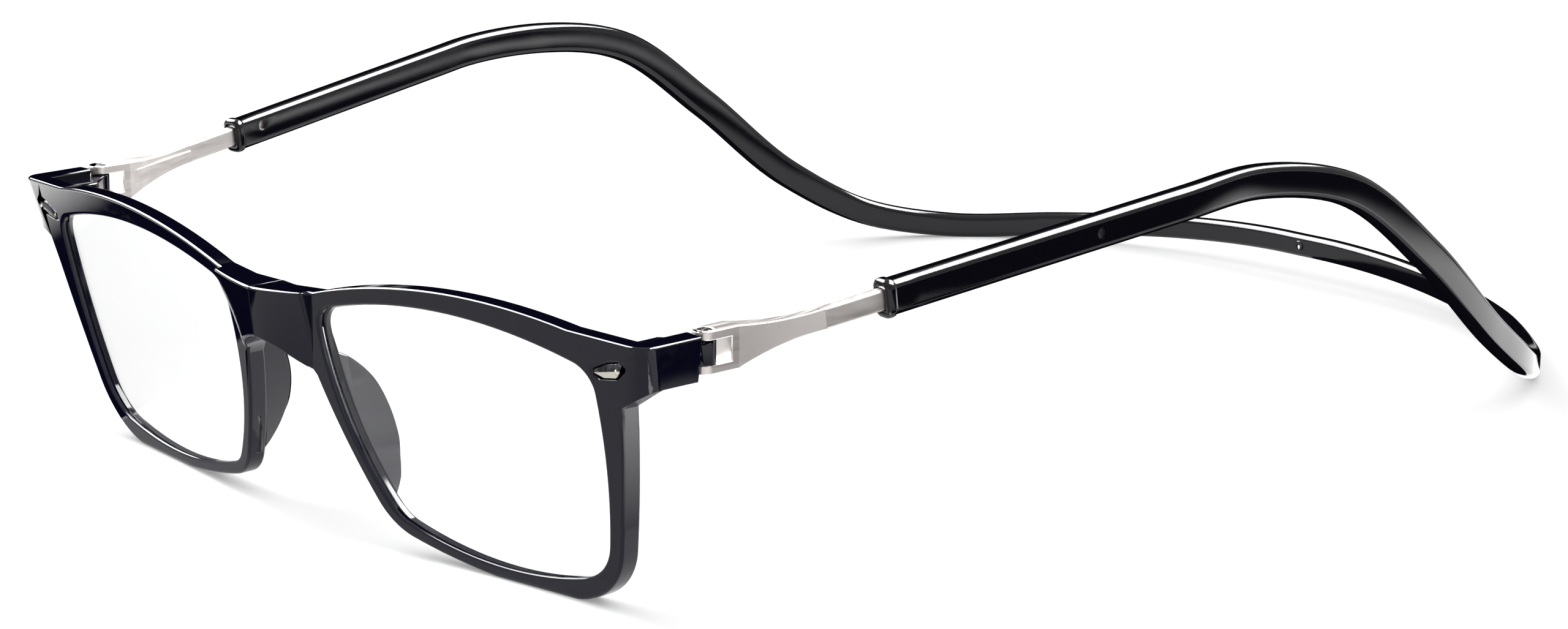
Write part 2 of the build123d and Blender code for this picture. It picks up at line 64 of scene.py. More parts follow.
def makeCamera(values):
    data = bpy.data.cameras.new("photoCamera")
    data.lens = values["lens"]
    data.sensor_width = values["sensor"]
    data.clip_start, data.clip_end = values["clip"]
    camera = bpy.data.objects.new("photoCamera", data)
    camera.location = values["place"]
    camera.rotation_euler = [math.radians(angle) for angle in values["turn"]]
    collection.objects.link(camera)
    bpy.context.scene.camera = camera


makeCamera(cameraValues)
print("camera set")


# Shared node groups: each gives only masks, values or colours

def addNode(tree, kind, place, **settings):
    node = tree.nodes.new(kind)
    node.location = place
    for name, value in settings.items():
        setattr(node, name, value)
    return node


def newGroup(name, inputs, outputs):
    group = bpy.data.node_groups.new(name, "ShaderNodeTree")
    for label, value in inputs.items():
        made = group.interface.new_socket(label, in_out="INPUT", socket_type="NodeSocketFloat")
        made.default_value = value
    for label in outputs:
        group.interface.new_socket(label, in_out="OUTPUT", socket_type="NodeSocketFloat")
    entry = addNode(group, "NodeGroupInput", (-900, 0))
    leave = addNode(group, "NodeGroupOutput", (900, 0))
    return group, entry.outputs, leave.inputs


def calculate(tree, operation, place, first, second, clamp=False, third=0):
    node = addNode(tree, "ShaderNodeMath", place, operation=operation, use_clamp=clamp)
    for slot, value in zip(node.inputs, (first, second, third)):
        if isinstance(value, (int, float)):
            slot.default_value = value
        else:
            tree.links.new(value, slot)
    return node.outputs[0]


def noiseIn(tree, place, vector, scale, detail=3.0, roughness=0.5, distortion=0.0):
    node = addNode(tree, "ShaderNodeTexNoise", place)
    tree.links.new(vector, node.inputs["Vector"])
    node.inputs["Scale"].default_value = scale
    node.inputs["Detail"].default_value = detail
    node.inputs["Roughness"].default_value = roughness
    node.inputs["Distortion"].default_value = distortion
    return node.outputs["Fac"]


def remap(tree, place, value, fromLow, fromHigh, toLow, toHigh):
    node = addNode(tree, "ShaderNodeMapRange", place, clamp=True)
    tree.links.new(value, node.inputs["Value"])
    levels = {"From Min": fromLow, "From Max": fromHigh, "To Min": toLow, "To Max": toHigh}
    for label, level in levels.items():
        node.inputs[label].default_value = level
    return node.outputs["Result"]


wearValues = {"low": 0.53, "high": 0.60, "patchScale": 900.0, "patchLow": 0.42, "patchHigh": 0.6}
grainValues = {"fineScale": 9000.0, "fineDetail": 2.0, "broadScale": 160.0, "broadDetail": 1.0}
smudgeValues = {
    "low": 0.46, "high": 0.68,
    "patch": (55.0, 4.0, 0.6, 0.8),     # scale, detail, roughness and distortion of the noise
    "streak": (700.0, 3.0, 0.7, 1.5),
}
dustValues = {"scale": 1500.0, "radius": 0.14, "upLow": 0.55, "upHigh": 0.95}
brushValues = {"lines": (1400.0, 4.0, 0.6), "stretch": (1.0, 0.035, 1.0)}


def makeEdgeWear(values):
    group, entry, leave = newGroup("edgeWear", {"Amount": 1.0}, ["Mask"])
    shape = addNode(group, "ShaderNodeNewGeometry", (-700, 200))
    place = addNode(group, "ShaderNodeTexCoord", (-700, -100))
    edge = remap(group, (-400, 200), shape.outputs["Pointiness"], values["low"], values["high"], 0, 1)
    patch = noiseIn(group, (-400, -100), place.outputs["Object"], values["patchScale"])
    patch = remap(group, (-150, -100), patch, values["patchLow"], values["patchHigh"], 0, 1)
    both = calculate(group, "MULTIPLY", (100, 100), edge, patch)
    group.links.new(calculate(group, "MULTIPLY", (300, 100), both, entry["Amount"], True), leave["Mask"])
    return group


def makeMouldGrain(values):
    group, entry, leave = newGroup("mouldGrain", {"Fine": 0.5, "Broad": 0.5}, ["Height", "Value"])
    place = addNode(group, "ShaderNodeTexCoord", (-700, 0)).outputs["Object"]
    fine = noiseIn(group, (-400, 200), place, values["fineScale"], values["fineDetail"])
    broad = noiseIn(group, (-400, -100), place, values["broadScale"], values["broadDetail"])
    finePart = calculate(group, "MULTIPLY", (-100, 200), fine, entry["Fine"])
    broadPart = calculate(group, "MULTIPLY", (-100, -100), broad, entry["Broad"])
    group.links.new(calculate(group, "ADD", (200, 0), finePart, broadPart), leave["Height"])
    group.links.new(broad, leave["Value"])
    return group


def makeSmudges(values):
    group, entry, leave = newGroup("handlingMarks", {"Amount": 1.0}, ["Mask"])
    place = addNode(group, "ShaderNodeTexCoord", (-700, 0)).outputs["Object"]
    patch = noiseIn(group, (-400, 200), place, *values["patch"])
    patch = remap(group, (-150, 200), patch, values["low"], values["high"], 0, 1)
    streak = noiseIn(group, (-400, -100), place, *values["streak"])
    both = calculate(group, "MULTIPLY", (100, 100), patch, streak)
    group.links.new(calculate(group, "MULTIPLY", (300, 100), both, entry["Amount"], True), leave["Mask"])
    return group


def makeDust(values):
    group, entry, leave = newGroup("restingDust", {"Amount": 1.0}, ["Mask"])
    shape = addNode(group, "ShaderNodeNewGeometry", (-900, 250))
    split = addNode(group, "ShaderNodeSeparateXYZ", (-700, 250))
    group.links.new(shape.outputs["Normal"], split.inputs[0])
    up = remap(group, (-450, 250), split.outputs["Z"], values["upLow"], values["upHigh"], 0, 1)
    place = addNode(group, "ShaderNodeTexCoord", (-900, -100)).outputs["Object"]
    cells = addNode(group, "ShaderNodeTexVoronoi", (-450, -100))
    cells.inputs["Scale"].default_value = values["scale"]
    group.links.new(place, cells.inputs["Vector"])
    speck = remap(group, (-150, -100), cells.outputs["Distance"], values["radius"], 0.0, 0, 1)
    both = calculate(group, "MULTIPLY", (100, 100), up, speck)
    group.links.new(calculate(group, "MULTIPLY", (300, 100), both, entry["Amount"], True), leave["Mask"])
    return group


def makeBrushGrain(values):
    group, entry, leave = newGroup("brushedGrain", {"Amount": 1.0}, ["Height", "Value"])
    place = addNode(group, "ShaderNodeTexCoord", (-900, 0)).outputs["Object"]
    stretch = addNode(group, "ShaderNodeMapping", (-650, 0))
    stretch.inputs["Scale"].default_value = values["stretch"]
    group.links.new(place, stretch.inputs["Vector"])
    lines = noiseIn(group, (-400, 0), stretch.outputs[0], *values["lines"])
    group.links.new(calculate(group, "MULTIPLY", (100, 100), lines, entry["Amount"]), leave["Height"])
    group.links.new(lines, leave["Value"])
    return group


edgeWear = makeEdgeWear(wearValues)
mouldGrain = makeMouldGrain(grainValues)
handlingMarks = makeSmudges(smudgeValues)
restingDust = makeDust(dustValues)
brushedGrain = makeBrushGrain(brushValues)
print("node groups made")


# Materials

materialValues = {
    "frameBlack": {
        "base": (0.003, 0.003, 0.012), "wornBase": (0.02, 0.02, 0.024), "rough": 0.04,
        "smudge": 0.03, "wear": 0.5, "dust": 0.25, "fine": 0.15, "broad": 0.8, "bump": 0.035,
    },
    "bandBlack": {
        "base": (0.004, 0.004, 0.007), "wornBase": (0.02, 0.02, 0.024), "rough": 0.06,
        "smudge": 0.04, "wear": 0.4, "dust": 0.3, "fine": 0.3, "broad": 1.0, "bump": 0.05,
    },
    "barNickel": {
        "base": (0.66, 0.62, 0.60), "wornBase": (0.76, 0.72, 0.70), "rough": 0.33,
        "smudge": 0.10, "wear": 0.8, "grain": 0.5, "bump": 0.05,
    },
    "screwSteel": {
        "base": (0.70, 0.69, 0.68), "wornBase": (0.85, 0.84, 0.83), "rough": 0.16,
        "smudge": 0.10, "wear": 0.8, "grain": 0.3, "bump": 0.04,
    },
    "pinDark": {
        "base": (0.05, 0.05, 0.055), "wornBase": (0.2, 0.2, 0.2), "rough": 0.35,
        "smudge": 0.10, "wear": 0.5, "grain": 0.3, "bump": 0.04,
    },
    "plaqueMetal": {
        "base": (0.90, 0.87, 0.76), "wornBase": (0.95, 0.93, 0.88), "rough": 0.16,
        "smudge": 0.08, "wear": 0.6, "grain": 0.2, "bump": 0.02,
    },
    # A dark copy of the plaque metal, which paints shade on the plaque's border and upper facets
    "plaquePaintedShade": {
        "base": (0.02, 0.02, 0.024), "wornBase": (0.2, 0.2, 0.2), "rough": 0.12,
        "smudge": 0.05, "wear": 0.4, "grain": 0.2, "bump": 0.02,
    },
    "magnetPlating": {
        "base": (0.72, 0.72, 0.73), "wornBase": (0.5, 0.46, 0.40), "rough": 0.2,
        "smudge": 0.10, "wear": 0.9, "grain": 0.2, "bump": 0.03,
    },
}


def newMaterial(name):
    material = bpy.data.materials.new(name)
    material.use_nodes = True
    tree = material.node_tree
    return material, tree, tree.nodes["Principled BSDF"]


def useGroup(tree, group, place, **levels):
    node = addNode(tree, "ShaderNodeGroup", place, node_tree=group)
    for label, level in levels.items():
        node.inputs[label].default_value = level
    return node.outputs


def mixColours(tree, place, share, first, second):
    # Inputs 6 and 7 and output 2 are the colour sockets of the node
    node = addNode(tree, "ShaderNodeMix", place, data_type="RGBA")
    tree.links.new(share, node.inputs["Factor"])
    for slot, value in ((node.inputs[6], first), (node.inputs[7], second)):
        if isinstance(value, tuple):
            slot.default_value = (*value, 1)
        else:
            tree.links.new(value, slot)
    return node.outputs[2]


def addBump(tree, shader, height, strength, distance):
    bump = addNode(tree, "ShaderNodeBump", (-250, -350))
    bump.inputs["Strength"].default_value = strength
    bump.inputs["Distance"].default_value = distance
    tree.links.new(height, bump.inputs["Height"])
    tree.links.new(bump.outputs["Normal"], shader.inputs["Normal"])


plasticValues = {
    "dustColour": (0.30, 0.29, 0.28), "dustRough": 0.5, "wornRough": 0.1,
    "bumpDistance": 0.0004, "index": 1.43,
}
metalValues = {"bumpDistance": 0.0002, "grainLow": 0.3, "grainHigh": 0.7, "smooth": 0.8, "coarse": 1.2}


def makePlastic(name, values, shared):
    material, tree, shader = newMaterial(name)
    shader.inputs["IOR"].default_value = shared["index"]
    wear = useGroup(tree, edgeWear, (-900, 300), Amount=values["wear"])["Mask"]
    dust = useGroup(tree, restingDust, (-900, 100), Amount=values["dust"])["Mask"]
    smudge = useGroup(tree, handlingMarks, (-900, -100), Amount=values["smudge"])["Mask"]
    grain = useGroup(tree, mouldGrain, (-900, -300), Fine=values["fine"], Broad=values["broad"])
    worn = mixColours(tree, (-500, 300), wear, values["base"], values["wornBase"])
    colour = mixColours(tree, (-250, 300), dust, worn, shared["dustColour"])
    tree.links.new(colour, shader.inputs["Base Color"])
    rough = calculate(tree, "ADD", (-600, 0), smudge, values["rough"])
    rough = calculate(tree, "MULTIPLY_ADD", (-400, 0), wear, shared["wornRough"], third=rough)
    rough = calculate(tree, "MULTIPLY_ADD", (-200, 0), dust, shared["dustRough"], third=rough)
    tree.links.new(rough, shader.inputs["Roughness"])
    addBump(tree, shader, grain["Height"], values["bump"], shared["bumpDistance"])
    return material


def makeMetal(name, values, shared):
    material, tree, shader = newMaterial(name)
    shader.inputs["Metallic"].default_value = 1.0
    wear = useGroup(tree, edgeWear, (-900, 300), Amount=values["wear"])["Mask"]
    smudge = useGroup(tree, handlingMarks, (-900, 0), Amount=values["smudge"])["Mask"]
    grain = useGroup(tree, brushedGrain, (-900, -300), Amount=values["grain"])
    tree.links.new(
        mixColours(tree, (-300, 300), wear, values["base"], values["wornBase"]),
        shader.inputs["Base Color"],
    )
    lined = remap(
        tree, (-600, -100), grain["Value"], shared["grainLow"], shared["grainHigh"],
        shared["smooth"] * values["rough"], shared["coarse"] * values["rough"]
    )
    tree.links.new(calculate(tree, "ADD", (-300, 0), lined, smudge), shader.inputs["Roughness"])
    addBump(tree, shader, grain["Height"], values["bump"], shared["bumpDistance"])
    return material


lensValues = {"tint": (0.985, 0.992, 0.99), "index": 1.5, "smudge": 0.02}


def makeClear(name, values):
    material, tree, shader = newMaterial(name)
    shader.inputs["Base Color"].default_value = (*values["tint"], 1)
    shader.inputs["Transmission Weight"].default_value = 1.0
    shader.inputs["IOR"].default_value = values["index"]
    smudge = useGroup(tree, handlingMarks, (-600, 0), Amount=values["smudge"])["Mask"]
    tree.links.new(smudge, shader.inputs["Roughness"])
    return material


looks = {}
for look, values in materialValues.items():
    if look in ("frameBlack", "bandBlack"):
        looks[look] = makePlastic(look, values, plasticValues)
    else:
        looks[look] = makeMetal(look, values, metalValues)
looks["lensClear"] = makeClear("lensClear", lensValues)
print("materials made")


def dress(thing, look):
    thing.data.materials.clear()
    thing.data.materials.append(looks[look])


def newPiece(name, mesh):
    piece = bpy.data.objects.new(name, mesh)
    collection.objects.link(piece)
    return piece


# Rounded copies of the machined and moulded solids

roundingValues = {
    "front_half": {
        "width": 0.45, "segments": 4, "angle": 28.0, "seam": 0.3,
        "near": {"lens": 0.0, "plaque": 0.2, "bridge_magnet": 0.15, "hinge_screw": 0.15, "temple_bar": 0.4},
    },
    "temple_bar": {
        "width": 0.22, "segments": 3, "angle": 28.0, "seam": 1.0,
        "near": {"slide_pin": 0.4, "hinge_screw": 0.4},
    },
    "weld": 0.07,       # points this close become one
    "flat": 0.8,        # degrees, below which facets are joined
    "spur": (68.87, -0.28, 35.2, 0.075),    # lug corner left out of the rounding, and its radius
    "tight": (66.5, 36.0, 0.3),     # beyond this x and under this z edges take this share
    "nearby": 0.35,     # an edge this close to a neighbouring piece takes that piece's share
    "stray": (0.03, 0.42),  # most that a rounded corner may lie outside the solid, and inside
    "reach": 0.7,       # how far from a corner its facet of the source is looked for
    "sameSide": 0.9,    # cosine, above which a source facet lies on the same face
    "inward": 0.03,     # share of the way to a facet's centre where its normal is looked up
}


def plainCopy(node, values):
    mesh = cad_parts[node].data.copy()
    work = bmesh.new()
    work.from_mesh(mesh)
    bmesh.ops.remove_doubles(work, verts=work.verts, dist=values["weld"] * mm)
    bmesh.ops.dissolve_limit(
        work, angle_limit=math.radians(values["flat"]), verts=work.verts, edges=work.edges
    )
    x, y, z, radius = values["spur"]
    spur = Vector((x, y - middleY, z)) * mm
    apex = [
        vertex for vertex in work.verts
        if (Vector((abs(vertex.co.x), vertex.co.y, vertex.co.z)) - spur).length < radius * mm
    ]
    bmesh.ops.dissolve_verts(work, verts=apex)
    work.to_mesh(mesh)
    work.free()
    if "custom_normal" in mesh.attributes:
        mesh.attributes.remove(mesh.attributes["custom_normal"])
    return mesh


def nodeTree(node):
    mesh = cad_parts[node].data
    return BVHTree.FromPolygons(
        [vertex.co for vertex in mesh.vertices], [tuple(face.vertices) for face in mesh.polygons]
    )


def weighEdges(mesh, side, form, values):
    # Full rounding on the outer edges, less or none where a neighbour sits close
    near = [(nodeTree(side + "_" + kind), share) for kind, share in form["near"].items()]
    reach = values["nearby"] * mm
    work = bmesh.new()
    work.from_mesh(mesh)
    layer = work.edges.layers.float.new("bevel_weight_edge")
    for edge in work.edges:
        if len(edge.link_faces) != 2 or edge.calc_face_angle_signed() < math.radians(form["angle"]):
            continue
        share = 1.0
        ends = [vertex.co for vertex in edge.verts]
        ends.append((ends[0] + ends[1]) / 2)
        for tree, less in near:
            if all(tree.find_nearest(place, reach)[0] is not None for place in ends):
                share = min(share, less)
        if all(abs(place.x) < reach for place in ends):
            share = min(share, form["seam"])
        beyond, under, tight = values["tight"]
        if all(abs(place.x) > beyond * mm and place.z < under * mm for place in ends):
            share = min(share, tight)
        edge[layer] = share
    work.to_mesh(mesh)
    work.free()


class SourceNormals:
    # Looks up the smooth normal of the CAD mesh at a place
    def __init__(self, mesh):
        mesh.calc_loop_triangles()
        self.points = [vertex.co.copy() for vertex in mesh.vertices]
        self.triangles = [tuple(tri.vertices) for tri in mesh.loop_triangles]
        corners = [corner.vector.copy() for corner in mesh.corner_normals]
        self.normals = [[corners[i] for i in tri.loops] for tri in mesh.loop_triangles]
        self.tree = BVHTree.FromPolygons(self.points, self.triangles)

    def at(self, place, facing, sameSide, reach):
        near = [
            found for found in self.tree.find_nearest_range(place, reach)
            if abs(found[1].dot(facing)) >= sameSide
        ]
        if not near:
            return facing
        found = min(near, key=lambda one: one[3])
        a, b, c = [self.points[i] for i in self.triangles[found[2]]]
        shares = barycentric(found[0], a, b, c)
        normal = Vector()
        for share, corner in zip(shares, self.normals[found[2]]):
            normal += share * corner
        if normal.length == 0 or normal.normalized().dot(facing) < sameSide:
            return facing
        return normal.normalized()


def barycentric(place, a, b, c):
    ab, ac, ap = b - a, c - a, place - a
    d00, d01, d11 = ab.dot(ab), ab.dot(ac), ac.dot(ac)
    d20, d21 = ap.dot(ab), ap.dot(ac)
    area = d00 * d11 - d01 * d01
    if area <= 0:
        return (1, 0, 0)
    second = (d11 * d20 - d01 * d21) / area
    third = (d00 * d21 - d01 * d20) / area
    return (1 - second - third, second, third)


def roundedCopy(node, side, name, form, values):
    source = SourceNormals(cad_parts[node].data)
    piece = newPiece(name, plainCopy(node, values))
    weighEdges(piece.data, side, form, values)
    piece.data.materials.clear()
    for _ in ("faces", "strips"):       # the second slot marks the rounded strips for a while
        piece.data.materials.append(looks["frameBlack"])
    bevel = piece.modifiers.new("rounding", "BEVEL")
    bevel.width = form["width"] * mm
    bevel.segments = form["segments"]
    bevel.limit_method = "WEIGHT"
    bevel.use_clamp_overlap = False
    bevel.material = 1
    mesh = bpy.data.meshes.new_from_object(
        piece.evaluated_get(bpy.context.evaluated_depsgraph_get())
    )
    piece.modifiers.clear()
    piece.data = mesh
    pullStrays(mesh, node, values)
    mesh.shade_smooth()
    keepNormals(mesh, source, values)
    return piece


def pullStrays(mesh, node, values):
    # Corners that the rounding pushed out of the solid, or far into it, go back to its surface
    tree = nodeTree(node)
    outside, inside = [limit * mm for limit in values["stray"]]
    for vertex in mesh.vertices:
        place, normal, _, away = tree.find_nearest(vertex.co)
        if away > inside or (away > outside and (vertex.co - place).dot(normal) > 0):
            vertex.co = place


def keepNormals(mesh, source, values):
    normals = [corner.vector.copy() for corner in mesh.corner_normals]
    atVertex = {}
    strips = []
    for polygon in mesh.polygons:
        if polygon.material_index == 1:
            strips.append(polygon)
            continue
        for loop in polygon.loop_indices:
            vertex = mesh.loops[loop].vertex_index
            place = mesh.vertices[vertex].co.lerp(polygon.center, values["inward"])
            normals[loop] = source.at(place, polygon.normal, values["sameSide"], values["reach"] * mm)
            atVertex.setdefault(vertex, Vector())
            atVertex[vertex] += normals[loop]
    for polygon in strips:
        polygon.material_index = 0
        for loop in polygon.loop_indices:
            total = atVertex.get(mesh.loops[loop].vertex_index)
            if total is not None and total.length > 0:
                normals[loop] = total.normalized()
    mesh.normals_split_custom_set(normals)


def makeRoundedPieces(values):
    kinds = {
        "front_half": ("_front", "frameBlack", "frame_black"),
        "temple_bar": ("_bar", "barNickel", "bar_nickel"),
    }
    for side in sides:
        for kind, (body, look, slot) in kinds.items():
            node = side + "_" + kind
            piece = roundedCopy(node, side, node + "_rounded", values[kind], values)
            dress(piece, look)
            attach(piece, side + body)
            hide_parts(node)


makeRoundedPieces(roundingValues)
print("front halves and temple bars rounded")


# Neck band, swept through the sections of the CAD model

bandValues = {
    "lip": (73.07, 39.22, 39.75),
    "way": (0.135, 1.0, 0.120),
    "sleeve": 48.0,
    "runIn": 5.0,
    "neckRuns": (6.0, 0.0, -6.0, -30.0),    # x of the rows at the middle of the neck
    "sleeveSection": (5.0, 3.1),            # height and thickness
    "neckSection": (4.2, 2.6),
    "round": 1.1,
    "leastFlat": 0.01,                      # half of the flat that a rounded corner leaves
    "path": [                    # x, y, z, height, thickness
        (79.70, 109.59, 46.70, 5.12, 3.10),
        (80.68, 129.25, 42.87, 5.20, 3.10),
        (81.00, 149.18, 29.89, 5.24, 3.05),
        (79.22, 169.52, 14.01, 5.12, 2.95),
        (74.60, 186.46, 4.95, 4.80, 2.85),
        (66.42, 199.07, 2.24, 4.48, 2.75),
        (50.71, 212.50, 2.99, 4.32, 2.65),
        (29.57, 220.50, 4.81, 4.24, 2.60),
    ],
    "neck": (222.8, 6.0),        # y and z
    "spacing": 2.0,
    "probe": 0.05,               # half of the step that gives the direction of the band
    "cornerSteps": 7,
    "searchSteps": 40,
    "cutAt": 45.0,               # distance from the middle where arm and neck pieces meet
    "sharp": 40.0,               # degrees, above which an edge keeps its facets apart
    "lipRings": [                # distance behind the lip, growth of the section
        (0.0, -0.34), (0.03, -0.18), (0.10, -0.02), (0.22, 0.12), (0.40, 0.21), (0.62, 0.25),
        (1.05, 0.25), (1.30, 0.21), (1.46, 0.12), (1.56, 0.03), (1.66, 0.0),
    ],
    "mouth": (3.1, 1.9, 0.35),   # height, width and corner of the slot for the bar
    "mouthRings": [(0.0, 0.16), (0.05, 0.06), (0.16, 0.0)],
    "mouthDepth": 51.2,
    "flex": ((79.768, 175.532, 10.390), (-0.179, 0.847, -0.500), 9.0),  # place, way, half length
    "open": ((30.0, 221.882, 4.777), (-1.0, 0.0, 0.0), 9.0),
    "pin": (37.0, 0.86, 0.45),   # behind the lip, radius of the hole, its depth
    "window": (5.6, 0.55, 0.9),  # behind the lip, above the middle, radius
}


def bandRows(values):
    lip, way = Vector(values["lip"]), Vector(values["way"])
    rows = []
    for reach in (values["sleeve"] - values["runIn"], values["sleeve"], values["sleeve"] + values["runIn"]):
        rows.append((*(lip + way * reach), *values["sleeveSection"]))
    rows += values["path"]
    y, z = values["neck"]
    rows += [(x, y, z, *values["neckSection"]) for x in values["neckRuns"]]
    return rows


def smoothRow(rows, knots, at):
    # Smooth curve through the rows, with the slope of a parabola at each
    span = max(i for i in range(1, len(rows) - 2) if knots[i] <= at or i == 1)
    slopes = []
    for i in (span, span + 1):
        before, after = knots[i] - knots[i - 1], knots[i + 1] - knots[i]
        slopes.append([
            ((b - a) / before * after + (c - b) / after * before) / (before + after)
            for a, b, c in zip(rows[i - 1], rows[i], rows[i + 1])
        ])
    width = knots[span + 1] - knots[span]
    t = (at - knots[span]) / width
    shares = (2 * t**3 - 3 * t**2 + 1, t**3 - 2 * t**2 + t, 3 * t**2 - 2 * t**3, t**3 - t**2)
    result = []
    for a, slopeA, b, slopeB in zip(rows[span], slopes[0], rows[span + 1], slopes[1]):
        result.append(shares[0] * a + shares[1] * width * slopeA + shares[2] * b + shares[3] * width * slopeB)
    return result


def bandKnots(rows):
    knots = [0.0]
    for a, b in zip(rows, rows[1:]):
        knots.append(knots[-1] + (Vector(b[:3]) - Vector(a[:3])).length)
    return knots


def roundedOutline(height, width, corner, values):
    steps = values["cornerSteps"]
    corner = min(corner, height / 2 - values["leastFlat"], width / 2 - values["leastFlat"])
    outline = []
    quarters = ((1, 1, 0), (-1, 1, 90), (-1, -1, 180), (1, -1, 270))
    for across, up, start in quarters:
        for step in range(steps + 1):
            angle = math.radians(start + 90 * step / steps)
            x = across * (width / 2 - corner) + corner * math.cos(angle)
            z = up * (height / 2 - corner) + corner * math.sin(angle)
            outline.append((x, z))
    return outline


def ringAt(place, way, outline):
    way = Vector(way).normalized()
    across = Vector((way.y, -way.x, 0)).normalized()
    up = across.cross(way)
    origin = Vector((0, middleY, 0))
    return [(Vector(place) + across * x + up * z - origin) * mm for x, z in outline]


def meshOfRings(name, rings, side, capEnd=True):
    count = len(rings[0])
    points = [Vector((point.x * side, point.y, point.z)) for ring in rings for point in ring]
    faces = []
    for i in range(len(rings) - 1):
        for j in range(count):
            k = (j + 1) % count
            faces.append((i * count + j, i * count + k, (i + 1) * count + k, (i + 1) * count + j))
    faces.append(tuple(range(count)))
    if capEnd:
        last = (len(rings) - 1) * count
        faces.append(tuple(last + j for j in reversed(range(count))))
    mesh = bpy.data.meshes.new(name)
    mesh.from_pydata(points, [], faces)
    work = bmesh.new()
    work.from_mesh(mesh)
    bmesh.ops.recalc_face_normals(work, faces=work.faces)
    work.to_mesh(mesh)
    work.free()
    mesh.shade_smooth()
    return mesh


def bandRings(rows, knots, start, end, values):
    count = max(2, round(abs(end - start) / values["spacing"]))
    rings = []
    for i in range(count + 1):
        at = start + (end - start) * i / count
        *place, height, width = smoothRow(rows, knots, at)
        ahead = smoothRow(rows, knots, at + values["probe"])
        behind = smoothRow(rows, knots, at - values["probe"])
        way = Vector(ahead[:3]) - Vector(behind[:3])
        outline = roundedOutline(height, width, values["round"], values)
        rings.append(ringAt(place, way, outline))
    return rings


def sleeveRings(values):
    lip, way = Vector(values["lip"]), Vector(values["way"])
    height, width = values["sleeveSection"]
    mouthHeight, mouthWidth, mouthCorner = values["mouth"]
    rings = []
    depths = [(values["mouthDepth"], 0.0)] + list(reversed(values["mouthRings"]))
    for reach, grow in depths:
        outline = roundedOutline(
            mouthHeight + 2 * grow, mouthWidth + 2 * grow, mouthCorner + grow, values
        )
        rings.append(ringAt(lip + way * reach, way, outline))
    for reach, grow in values["lipRings"]:
        outline = roundedOutline(
            height + 2 * grow, width + 2 * grow, values["round"] + grow, values
        )
        rings.append(ringAt(lip + way * reach, way, outline))
    plain = roundedOutline(height, width, values["round"], values)
    straight = values["sleeve"] - values["lipRings"][-1][0]
    count = round(straight / (2 * values["spacing"]))
    for i in range(1, count + 1):
        reach = values["lipRings"][-1][0] + straight * i / count
        rings.append(ringAt(lip + way * reach, way, plain))
    return rings


def cutPlaces(rows, knots, values):
    # Knots where arm and neck pieces meet, and at the middle, between the ear and the last rows
    found = []
    for target in (values["cutAt"], 0.0):
        low, high = knots[-8], knots[-2]
        for _ in range(values["searchSteps"]):
            middle = (low + high) / 2
            if smoothRow(rows, knots, middle)[0] > target:
                low = middle
            else:
                high = middle
        found.append(low)
    return found


def boreHole(piece, centre, way, radius, length, steps=32):
    # Cuts a round hole with a boolean, from the centre along the way
    way = Vector(way).normalized()
    across = way.orthogonal().normalized()
    up = way.cross(across)
    rings = []
    for reach in (0.0, length):
        ring = []
        for i in range(steps):
            angle = 2 * math.pi * i / steps
            place = centre + way * reach + across * radius * math.cos(angle) + up * radius * math.sin(angle)
            ring.append(place * mm)
        rings.append(ring)
    cutter = newPiece("cutter", meshOfRings("cutter", rings, 1))
    cut = piece.modifiers.new("hole", "BOOLEAN")
    cut.operation = "DIFFERENCE"
    cut.solver = "EXACT"
    cut.object = cutter
    mesh = bpy.data.meshes.new_from_object(
        piece.evaluated_get(bpy.context.evaluated_depsgraph_get())
    )
    piece.modifiers.clear()
    piece.data = mesh
    bpy.data.objects.remove(cutter)


def makeBand(values):
    rows = bandRows(values)
    knots = bandKnots(rows)
    cut, middle = cutPlaces(rows, knots, values)
    lip, way = Vector(values["lip"]), Vector(values["way"])
    across = Vector((way.y, -way.x, 0)).normalized()
    up = across.cross(way.normalized())
    for side, sign in sides.items():
        arm = sleeveRings(values) + bandRings(rows, knots, knots[1], cut, values)[1:]
        piece = newPiece(side + "_band_arm", meshOfRings(side + "_band_arm", arm, sign))
        origin = Vector((0, middleY, 0))
        reach, radius, depth = values["pin"]
        outer = lip + way * reach + across * (values["sleeveSection"][1] / 2) - origin
        mirror = Vector((sign, 1, 1))
        boreHole(piece, (outer + across * depth) * mirror, -across * mirror, radius, 2 * depth)
        reach, rise, radius = values["window"]
        inner = lip + way * reach + up * rise - origin
        boreHole(piece, inner * mirror, -across * mirror, radius, values["sleeveSection"][1])
        piece.data.shade_smooth()
        piece.data.set_sharp_from_angle(angle=math.radians(values["sharp"]))
        dress(piece, "bandBlack")
        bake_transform(piece)
        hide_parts(side + "_temple_band", side + "_band_corner")
        neck = bandRings(rows, knots, cut, middle, values)
        piece = newPiece(side + "_neck_half", meshOfRings(side + "_neck_half", neck, sign, capEnd=False))
        piece.data.set_sharp_from_angle(angle=math.radians(values["sharp"]))
        dress(piece, "bandBlack")
        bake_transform(piece)
        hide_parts("neck_band")


makeBand(bandValues)
print("neck band swept")


# Metal details

screwValues = {
    "place": (68.87, 11.32, 39.7),
    "foot": 34.0,
    "profile": [                # radius and height of the head
        (0.0, 0.0), (0.88, 0.0), (1.06, -0.04), (1.18, -0.12), (1.235, -0.24), (1.24, -0.5), (0.7, -0.5),
    ],
    "shank": 0.7,
    "slot": (0.36, 2.1, 0.30),  # width, length, depth
    "turn": 24.0,
    "steps": 48,
    "sharp": 35.0,
}


def lathe(name, profile, steps, side, place):
    rings = []
    for radius, z in profile:
        ring = []
        for i in range(steps):
            angle = 2 * math.pi * i / steps
            x, y = max(radius, leastRadius) * math.cos(angle), radius * math.sin(angle)
            ring.append(place + Vector((x, y, z)) * mm)
        rings.append(ring)
    return meshOfRings(name, rings, side)


